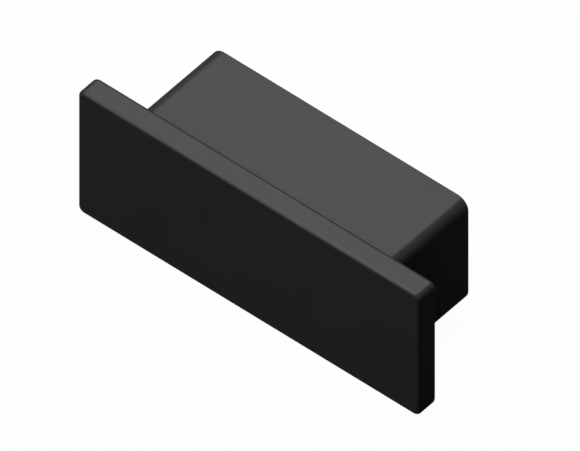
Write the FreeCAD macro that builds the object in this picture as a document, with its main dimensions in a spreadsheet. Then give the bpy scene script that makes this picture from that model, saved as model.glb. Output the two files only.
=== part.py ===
import FreeCAD, Part
import math
import os

import Sketcher
from FreeCAD import Vector

# Profile end cap: one black plastic moulding, a face plate with a cored plug behind it.
# The plug presses into the open end of a rectangular profile until the plate's rear face meets it.
# Lengths are in millimetres. X runs along the width and Z points up.
# The plate's rear face lies at Y = 0, the plug points along +Y, and the plug's centre line is the Y axis.

# Face plate
PLATE_WIDTH = 47.46
PLATE_HEIGHT = 18.39
PLATE_THICKNESS = 2.9
PLATE_CORNER_RADIUS = 0.86
PLATE_EDGE_ROUND = 0.45

# Plug, which sits a little above the middle of the plate
PLUG_WIDTH = 35.45
PLUG_HEIGHT = 15.33
PLUG_DEPTH = 12.4
PLUG_RISE = 0.28
PLUG_CORNER_RADIUS = 1.55
PLUG_END_ROUND = 0.15

# Hollow cells cored into the plug from its open end, with thin webs between them
# Walls and webs are thinnest at the open end and grow with the draft
# The cells' corners are tightest at the floor
WALL = 1.8
WEB = 1.2
CELL_COUNT = 3
FACE_WALL = 2.2
CELL_CORNER_RADIUS = 0.6
CELL_FLOOR_ROUND = 0.4
CELL_DRAFT_DEGREES = 1.0

NEAR = 1e-6
SAME_CUT_SHARE = 0.001
STEP_FOLDER = "parts"
NODE = "end_cap"


# Sheet: the stated sizes, then the ones that follow from them
def add_sheet(doc):
    stated = {
        "plate_width": PLATE_WIDTH,
        "plate_height": PLATE_HEIGHT,
        "plate_thickness": PLATE_THICKNESS,
        "plate_corner_radius": PLATE_CORNER_RADIUS,
        "plate_edge_round": PLATE_EDGE_ROUND,
        "plug_width": PLUG_WIDTH,
        "plug_height": PLUG_HEIGHT,
        "plug_depth": PLUG_DEPTH,
        "plug_rise": PLUG_RISE,
        "plug_corner_radius": PLUG_CORNER_RADIUS,
        "plug_end_round": PLUG_END_ROUND,
        "wall": WALL,
        "web": WEB,
        "cell_count": CELL_COUNT,
        "face_wall": FACE_WALL,
        "cell_corner_radius": CELL_CORNER_RADIUS,
        "cell_floor_round": CELL_FLOOR_ROUND,
        "cell_draft": CELL_DRAFT_DEGREES,
    }
    derived = {
        "cell_width": "=(plug_width - 2 * wall - (cell_count - 1) * web) / cell_count",
        "cell_height": "=plug_height - 2 * wall",
        "cell_depth": "=plug_depth + plate_thickness - face_wall",
        "cell_mouth_radius": "=cell_corner_radius + cell_depth * tan(cell_draft)",
        "cell_pitch": "=cell_width + web",
        "cell_span": "=(cell_count - 1) * cell_pitch",
        "first_cell_x": "=0 - cell_span / 2",
        "plate_centre_z": "=0 - plug_rise",
        "plug_centre": "=0",
    }
    sheet = doc.addObject("Spreadsheet::Sheet", "Sizes")
    cells = {**stated, **derived}
    for row, (alias, value) in enumerate(cells.items(), start=1):
        sheet.set(f"A{row}", alias.replace("_", " "))
        sheet.set(f"B{row}", str(value))
        sheet.setAlias(f"B{row}", alias)
    doc.recompute()
    return sheet


# Sketch across the plug's axis, set back from the plate's rear face by an expression
def add_sketch(body, name, set_back=None):
    sketch = body.newObject("Sketcher::SketchObject", name)
    plane = next(f for f in body.Origin.OriginFeatures if f.Role == "XZ_Plane")
    sketch.AttachmentSupport = [(plane, "")]
    sketch.MapMode = "FlatFace"
    if set_back:
        sketch.setExpression("AttachmentOffset.Base.z", set_back)
    return sketch


# Rectangle with four tangent corner arcs, whose sizes are aliases in the sheet
def draw_rounded_rectangle(sheet, sketch, width, height, radius, centre_x, centre_z):
    w, h, r, x, z = (float(sheet.get(a)) for a in (width, height, radius, centre_x, centre_z))
    left = x - w / 2
    right = x + w / 2
    low = z - h / 2
    high = z + h / 2

    def line(x0, z0, x1, z1):
        return sketch.addGeometry(Part.LineSegment(Vector(x0, z0, 0), Vector(x1, z1, 0)), False)

    def arc(cx, cz, quarter):
        circle = Part.Circle(Vector(cx, cz, 0), Vector(0, 0, 1), r)
        turn = math.radians(90 * quarter)
        return sketch.addGeometry(Part.ArcOfCircle(circle, turn, turn + math.radians(90)), False)

    bottom = line(left + r, low, right - r, low)
    corner_a = arc(right - r, low + r, -1)
    side_right = line(right, low + r, right, high - r)
    corner_b = arc(right - r, high - r, 0)
    top = line(right - r, high, left + r, high)
    corner_c = arc(left + r, high - r, 1)
    side_left = line(left, high - r, left, low + r)
    corner_d = arc(left + r, low + r, 2)

    loop = [bottom, corner_a, side_right, corner_b, top, corner_c, side_left, corner_d]
    # The sketcher numbers a curve's two ends 1 and 2, and calls its own origin curve -1
    start, end, origin = 1, 2, -1
    for this, following in zip(loop, loop[1:] + loop[:1]):
        sketch.addConstraint(Sketcher.Constraint("Tangent", this, end, following, start))
    for level in (bottom, top):
        sketch.addConstraint(Sketcher.Constraint("Horizontal", level))
    for upright in (side_right, side_left):
        sketch.addConstraint(Sketcher.Constraint("Vertical", upright))
    for corner in (corner_b, corner_c, corner_d):
        sketch.addConstraint(Sketcher.Constraint("Equal", corner_a, corner))

    sizes = {
        "radius": (Sketcher.Constraint("Radius", corner_a, r), f"Sizes.{radius}"),
        "width": (
            Sketcher.Constraint("DistanceX", side_left, start, side_right, start, w),
            f"Sizes.{width}",
        ),
        "height": (
            Sketcher.Constraint("DistanceY", bottom, start, top, start, h),
            f"Sizes.{height}",
        ),
        "left": (
            Sketcher.Constraint("DistanceX", side_left, start, origin, start, -left),
            f"Sizes.{width} / 2 - Sizes.{centre_x}",
        ),
        "low": (
            Sketcher.Constraint("DistanceY", bottom, start, origin, start, -low),
            f"Sizes.{height} / 2 - Sizes.{centre_z}",
        ),
    }
    for name, (constraint, expression) in sizes.items():
        index = sketch.addConstraint(constraint)
        sketch.renameConstraint(index, name)
        sketch.setExpression(f"Constraints.{name}", expression)


# Flat faces square to the plug's axis that lie at a given Y and are no wider than stated
def faces_across_axis(shape, y, widest):
    found = []
    for number, face in enumerate(shape.Faces, start=1):
        box = face.BoundBox
        is_there = box.YLength < NEAR and abs(box.YMin - y) < NEAR
        if is_there and box.XLength < widest + NEAR:
            found.append(f"Face{number}")
    return found


# Rounding of every edge of the named faces
def add_round(body, name, before, faces, radius):
    rounded = body.newObject("PartDesign::Fillet", name)
    rounded.Base = (before, faces)
    rounded.setExpression("Radius", f"Sizes.{radius}")
    return rounded


doc = FreeCAD.newDocument("EndCap")
sheet = add_sheet(doc)
body = doc.addObject("PartDesign::Body", "EndCapBody")
body.Label = NODE

# Face plate, with its front and rear edges rounded
plate_sketch = add_sketch(body, "PlateOutline")
draw_rounded_rectangle(
    sheet, plate_sketch, "plate_width", "plate_height", "plate_corner_radius", "plug_centre", "plate_centre_z"
)
plate = body.newObject("PartDesign::Pad", "Plate")
plate.Profile = plate_sketch
plate.setExpression("Length", "Sizes.plate_thickness")
doc.recompute()
front = faces_across_axis(plate.Shape, -PLATE_THICKNESS, PLATE_WIDTH)
rear = faces_across_axis(plate.Shape, 0, PLATE_WIDTH)
plate_edges = add_round(body, "PlateEdges", plate, front + rear, "plate_edge_round")
doc.recompute()

# Plug, with its open end's outer edge broken
plug_sketch = add_sketch(body, "PlugOutline")
draw_rounded_rectangle(
    sheet, plug_sketch, "plug_width", "plug_height", "plug_corner_radius", "plug_centre", "plug_centre"
)
plug = body.newObject("PartDesign::Pad", "Plug")
plug.Profile = plug_sketch
plug.Reversed = True
plug.setExpression("Length", "Sizes.plug_depth")
doc.recompute()
mouth = faces_across_axis(plug.Shape, PLUG_DEPTH, PLUG_WIDTH)
plug_end = add_round(body, "PlugEnd", plug, mouth, "plug_end_round")
doc.recompute()

# Cells with drafted walls, cored from the open end into the plate, and repeated across the width
cell_sketch = add_sketch(body, "CellOutline", set_back="0 - Sizes.plug_depth")
draw_rounded_rectangle(
    sheet, cell_sketch, "cell_width", "cell_height", "cell_mouth_radius", "first_cell_x", "plug_centre"
)
cell = body.newObject("PartDesign::Pocket", "Cell")
cell.Profile = cell_sketch
cell.Reversed = True
cell.setExpression("Length", "Sizes.cell_depth")
cell.setExpression("TaperAngle", "0 - Sizes.cell_draft")
doc.recompute()
cells = body.newObject("PartDesign::LinearPattern", "Cells")
cells.Originals = [cell]
cells.Direction = (cell_sketch, ["H_Axis"])
cells.setExpression("Length", "Sizes.cell_span")
cells.setExpression("Occurrences", "Sizes.cell_count")
body.Tip = cells
doc.recompute()
floors = faces_across_axis(cells.Shape, FACE_WALL - PLATE_THICKNESS, PLUG_WIDTH)
cell_floors = add_round(body, "CellFloors", cells, floors, "cell_floor_round")
body.Tip = cell_floors
doc.recompute()

# Every step has to work, and each cell has to take away as much as the first
for item in doc.Objects:
    if "Invalid" in item.State or "Error" in item.State:
        raise RuntimeError(f"{item.Label} failed: {item.State}")
    if hasattr(item, "Shape") and item.isDerivedFrom("PartDesign::Feature"):
        if item.Shape.isNull() or not item.Shape.isValid():
            raise RuntimeError(f"{item.Label} has no valid shape")
first_cut = plug_end.Shape.Volume - cell.Shape.Volume
every_cut = plug_end.Shape.Volume - cells.Shape.Volume
if first_cut < NEAR or abs(every_cut - CELL_COUNT * first_cut) > SAME_CUT_SHARE * first_cut:
    raise RuntimeError("the cells don't cut the plug as they should")
if len(floors) != CELL_COUNT or len(body.Shape.Solids) != 1:
    raise RuntimeError("the cap isn't one solid with its full count of cells")

os.makedirs(STEP_FOLDER, exist_ok=True)
body.Shape.exportStep(f"{STEP_FOLDER}/{NODE}.step")
box = body.Shape.BoundBox
print(f"{NODE}: {box.XLength:.3f} x {box.YLength:.3f} x {box.ZLength:.3f} mm")
print(f"Volume {body.Shape.Volume:.1f} mm3")
print(f"Y from {box.YMin:.3f} to {box.YMax:.3f}, Z from {box.ZMin:.3f} to {box.ZMax:.3f}")
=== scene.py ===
import math

import bpy
from mathutils import Matrix, Vector


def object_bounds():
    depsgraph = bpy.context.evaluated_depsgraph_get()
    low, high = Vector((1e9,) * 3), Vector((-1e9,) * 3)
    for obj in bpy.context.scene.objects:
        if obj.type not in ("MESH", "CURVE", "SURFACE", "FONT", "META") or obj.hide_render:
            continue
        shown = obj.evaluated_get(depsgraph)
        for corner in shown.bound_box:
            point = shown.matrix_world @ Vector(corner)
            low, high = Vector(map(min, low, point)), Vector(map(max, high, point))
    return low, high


# A black moulded end cap on a plain white ground, seen in parallel projection from its front right corner.
# Lengths are in metres, in the part's own frame: X along the width, Z up, the plug along +Y.
MILLIMETRE = 0.001

# View, fitted to the outlines in the photograph
VIEW_AZIMUTH = math.radians(40.262)
VIEW_ELEVATION = math.radians(45.898)
IMAGE_WIDTH = 580
PIXELS_PER_METRE = 9432
# How far the picture's centre lies to the right of the middle of the plate's front, and above it
CENTRE_RIGHT_OF_PLATE = 41.79 / PIXELS_PER_METRE
CENTRE_ABOVE_PLATE = 28.70 / PIXELS_PER_METRE
CAMERA_DISTANCE = 0.4
NEAREST_SEEN = 0.01
FARTHEST_SEEN = 10

# Soft boxes: azimuth, elevation and half the angle that they fill, in degrees, then brightness.
# The key, the fill, the low box and the side box shade the sides that show.
# The sheen and the glint stand where the top faces and their rounded edges mirror them to the camera.
SOFT_BOXES = {
    "key": (300, 73, 10, 12),
    "fill": (334, 36, 12, 4.1),
    "low": (335, 15, 8, 1.5),
    "side": (45, 20, 10, 1.2),
    "sheen": (195, 70, 22, 2.6),
    "glint": (231, 46, 10, 1.36),
}
BOX_DISTANCE = 0.6

# Black plastic: the two tones that it drifts between, the strength of its gloss, and how rough it is
DARKER_TONE = (0.0385, 0.0385, 0.0390, 1)
PALER_TONE = (0.0415, 0.0415, 0.0415, 1)
SPECULAR_LEVEL = 0.25
LEAST_ROUGH = 0.28
MOST_ROUGH = 0.315
# Noises in the skin: the size of their features, their octaves of detail, and how strong the finer ones are
GRAIN = (0.16 * MILLIMETRE, 3.0, 0.6)
DRIFT = (9 * MILLIMETRE, 2.0, 0.5)
GRAIN_DEPTH = 0.02 * MILLIMETRE
GRAIN_STRENGTH = 0.06
# Nearly all of a noise lies between these two values
NOISE_LOW = 0.3
NOISE_HIGH = 0.7

# Ground: how bright the camera sees it, and how much of the light it sends back
GROUND_GLOW = 0.973
GROUND_GREY = (0.02, 0.02, 0.02, 1)
BACKDROP_WHITE = (1, 1, 1, 1)
# How much of the white background shows in the cap's gloss: hardly any, as in the photograph
GLOSS_SHARE = 0.01
FLOOR_HALF_WIDTH = 2.0
FLOOR_GAP = 0.02 * MILLIMETRE

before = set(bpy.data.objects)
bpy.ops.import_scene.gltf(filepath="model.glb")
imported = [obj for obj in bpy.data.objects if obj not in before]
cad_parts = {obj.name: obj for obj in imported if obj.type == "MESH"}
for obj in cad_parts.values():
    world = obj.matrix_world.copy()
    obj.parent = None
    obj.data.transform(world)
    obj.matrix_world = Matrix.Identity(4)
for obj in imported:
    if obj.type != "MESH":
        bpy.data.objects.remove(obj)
cad_low, cad_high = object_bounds()
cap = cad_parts["end_cap"]
scene = bpy.context.scene
scene.view_settings.view_transform = "Standard"


# Direction from the cap: azimuth 0 is in front of the plate and 90 degrees is at its right end
def direction(azimuth, elevation):
    return Vector((
        math.sin(azimuth) * math.cos(elevation),
        -math.cos(azimuth) * math.cos(elevation),
        math.sin(elevation),
    ))


# Camera in parallel projection, which gives back the point that it looks at
def add_camera(plate_centre):
    back = direction(VIEW_AZIMUTH, VIEW_ELEVATION)
    right = Vector((math.cos(VIEW_AZIMUTH), math.sin(VIEW_AZIMUTH), 0))
    up = back.cross(right)
    data = bpy.data.cameras.new("camera")
    data.type = "ORTHO"
    data.ortho_scale = IMAGE_WIDTH / PIXELS_PER_METRE
    data.clip_start = NEAREST_SEEN
    data.clip_end = FARTHEST_SEEN
    camera = bpy.data.objects.new("camera", data)
    aim = plate_centre + right * CENTRE_RIGHT_OF_PLATE + up * CENTRE_ABOVE_PLATE
    turn = Matrix((right, up, back)).transposed().to_4x4()
    camera.matrix_world = Matrix.Translation(aim + back * CAMERA_DISTANCE) @ turn
    scene.collection.objects.link(camera)
    scene.camera = camera
    return aim


# Square soft box that shines towards the cap
def add_soft_box(name, azimuth, elevation, half_angle, radiance, target):
    size = 2 * BOX_DISTANCE * math.tan(math.radians(half_angle))
    data = bpy.data.lights.new(name, "AREA")
    data.shape = "SQUARE"
    data.size = size
    data.energy = radiance * math.pi * size * size
    box = bpy.data.objects.new(name, data)
    away = direction(math.radians(azimuth), math.radians(elevation))
    box.location = target + away * BOX_DISTANCE
    box.rotation_mode = "QUATERNION"
    box.rotation_quaternion = away.to_track_quat("Z", "Y")
    scene.collection.objects.link(box)


# Node whose inputs are links where they are given as sockets, and plain values otherwise
def add_node(tree, kind, inputs=None, **settings):
    node = tree.nodes.new(kind)
    for name, value in settings.items():
        setattr(node, name, value)
    for name, value in (inputs or {}).items():
        if isinstance(value, bpy.types.NodeSocket):
            tree.links.new(value, node.inputs[name])
        else:
            node.inputs[name].default_value = value
    return node


# Math node on two values, each a socket or a number
def add_math(tree, operation, first, second):
    return add_node(tree, "ShaderNodeMath", {0: first, 1: second}, operation=operation).outputs[0]


# Noise that is fixed to the cap
def add_noise(tree, place, size, detail, roughness):
    inputs = {"Vector": place, "Scale": 1 / size, "Detail": detail, "Roughness": roughness}
    return add_node(tree, "ShaderNodeTexNoise", inputs).outputs["Fac"]


# How much of the white background each kind of ray meets: all where the camera looks, also through
# something clear, a share in gloss, and none in the light on a surface
def seen_as_white(tree):
    path = add_node(tree, "ShaderNodeLightPath")
    clear = add_math(tree, "MAXIMUM", path.outputs["Is Camera Ray"], path.outputs["Is Transmission Ray"])
    gloss = add_math(tree, "MULTIPLY", path.outputs["Is Glossy Ray"], GLOSS_SHARE)
    return add_math(tree, "MAXIMUM", clear, gloss)


# Black moulded plastic: a satin skin with a very fine grain, faint unevenness from the mould, and no pattern
def black_plastic():
    material = bpy.data.materials.new("black_plastic")
    material.use_nodes = True
    tree = material.node_tree
    shader = next(n for n in tree.nodes if n.type == "BSDF_PRINCIPLED")
    shader.inputs["Specular IOR Level"].default_value = SPECULAR_LEVEL
    place = add_node(tree, "ShaderNodeTexCoord").outputs["Object"]
    grain = add_noise(tree, place, *GRAIN)
    drift = add_noise(tree, place, *DRIFT)

    colour = add_node(tree, "ShaderNodeValToRGB", {"Fac": drift})
    darker, paler = colour.color_ramp.elements
    darker.position = NOISE_LOW
    darker.color = DARKER_TONE
    paler.position = NOISE_HIGH
    paler.color = PALER_TONE
    tree.links.new(colour.outputs["Color"], shader.inputs["Base Color"])

    noise_range = {"Value": grain, "From Min": NOISE_LOW, "From Max": NOISE_HIGH}
    rough_range = {"To Min": LEAST_ROUGH, "To Max": MOST_ROUGH}
    rough = add_node(tree, "ShaderNodeMapRange", {**noise_range, **rough_range})
    tree.links.new(rough.outputs["Result"], shader.inputs["Roughness"])

    bump = {"Height": grain, "Strength": GRAIN_STRENGTH, "Distance": GRAIN_DEPTH}
    skin = add_node(tree, "ShaderNodeBump", bump)
    tree.links.new(skin.outputs["Normal"], shader.inputs["Normal"])
    return material


# White ground: white to the camera, with the cap's own soft shadow kept, and dim in what it sends back
def white_floor():
    material = bpy.data.materials.new("white_floor")
    material.use_nodes = True
    tree = material.node_tree
    tree.nodes.clear()
    glow = add_math(tree, "MULTIPLY", seen_as_white(tree), GROUND_GLOW)
    white = add_node(tree, "ShaderNodeEmission", {"Strength": glow})
    grey = add_node(tree, "ShaderNodeBsdfDiffuse", {"Color": GROUND_GREY})
    ground = add_node(tree, "ShaderNodeAddShader", {0: grey.outputs[0], 1: white.outputs[0]})
    add_node(tree, "ShaderNodeOutputMaterial", {"Surface": ground.outputs[0]})
    return material


# Floor just below the cap, wide enough to fill every view
def add_floor(height):
    half = FLOOR_HALF_WIDTH
    corners = [(-half, -half, height), (half, -half, height), (half, half, height), (-half, half, height)]
    mesh = bpy.data.meshes.new("floor")
    mesh.from_pydata(corners, [], [(0, 1, 2, 3)])
    mesh.materials.append(white_floor())
    floor = bpy.data.objects.new("floor", mesh)
    scene.collection.objects.link(floor)


# World: white to the camera and nearly dark to the cap, so that the soft boxes light it
def set_world():
    world = bpy.data.worlds.new("studio")
    scene.world = world
    world.use_nodes = True
    tree = world.node_tree
    tree.nodes.clear()
    backdrop = {"Color": BACKDROP_WHITE, "Strength": seen_as_white(tree)}
    white = add_node(tree, "ShaderNodeBackground", backdrop)
    add_node(tree, "ShaderNodeOutputWorld", {"Surface": white.outputs[0]})


plate_centre = Vector((
    (cad_low.x + cad_high.x) / 2,
    cad_low.y,
    (cad_low.z + cad_high.z) / 2,
))
aim = add_camera(plate_centre)
cap.material_slots[0].material = black_plastic()
add_floor(cad_low.z - FLOOR_GAP)
set_world()

for name, (azimuth, elevation, half_angle, radiance) in SOFT_BOXES.items():
    add_soft_box(name, azimuth, elevation, half_angle, radiance, aim)
